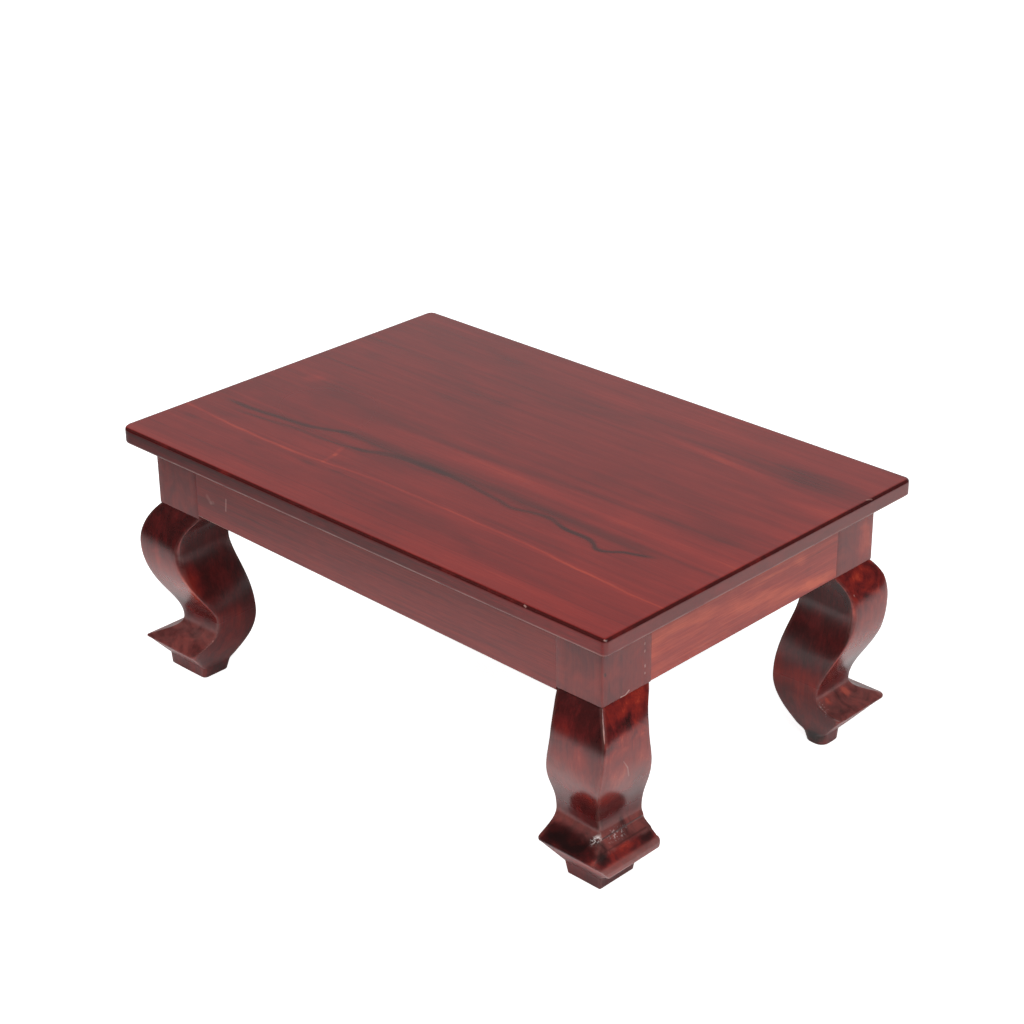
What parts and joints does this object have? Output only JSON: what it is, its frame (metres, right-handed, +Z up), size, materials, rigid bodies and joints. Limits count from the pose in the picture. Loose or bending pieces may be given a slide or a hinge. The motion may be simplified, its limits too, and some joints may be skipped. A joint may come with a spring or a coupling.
{
  "type": "low wooden stool table",
  "caption": "Low rectangular wooden stool table with a flat overhanging top, plain aprons and S-curved square legs ending in pointed toes on small pads.",
  "frame": {"origin": "on the floor under the middle of the top", "axes": "+X along the top's length, +Y from the front (the long side facing the picture) to the rear, +Z up"},
  "size_m": [0.457, 0.305, 0.196],
  "materials": {
    "top_wood": "glossy red-brown polish over straight-grained rosewood-like boards with dark veins",
    "apron_wood": "glossy red-brown polish, grain along the board",
    "leg_wood": "glossy dark red-brown polish, grain up the leg",
    "block_wood": "thinly stained bare wood",
    "screw_steel": "plain bright steel, slotted"
  },
  "bodies": {
    "root": {"top_front_strip": "top_wood", "top_middle_board": "top_wood", "top_rear_board": "top_wood", "front_apron": "apron_wood", "rear_apron": "apron_wood", "left_apron": "apron_wood", "right_apron": "apron_wood", "left_front_leg": "leg_wood", "right_front_leg": "leg_wood", "right_rear_leg": "leg_wood", "left_rear_leg": "leg_wood", "left_front_corner_block": "block_wood", "right_front_corner_block": "block_wood", "right_rear_corner_block": "block_wood", "left_rear_corner_block": "block_wood", "left_front_screw_into_long_apron": "screw_steel", "left_front_screw_into_short_apron": "screw_steel", "left_front_screw_into_top": "screw_steel", "right_front_screw_into_long_apron": "screw_steel", "right_front_screw_into_short_apron": "screw_steel", "right_front_screw_into_top": "screw_steel", "right_rear_screw_into_long_apron": "screw_steel", "right_rear_screw_into_short_apron": "screw_steel", "right_rear_screw_into_top": "screw_steel", "left_rear_screw_into_long_apron": "screw_steel", "left_rear_screw_into_short_apron": "screw_steel", "left_rear_screw_into_top": "screw_steel"}
  },
  "joints": []
}
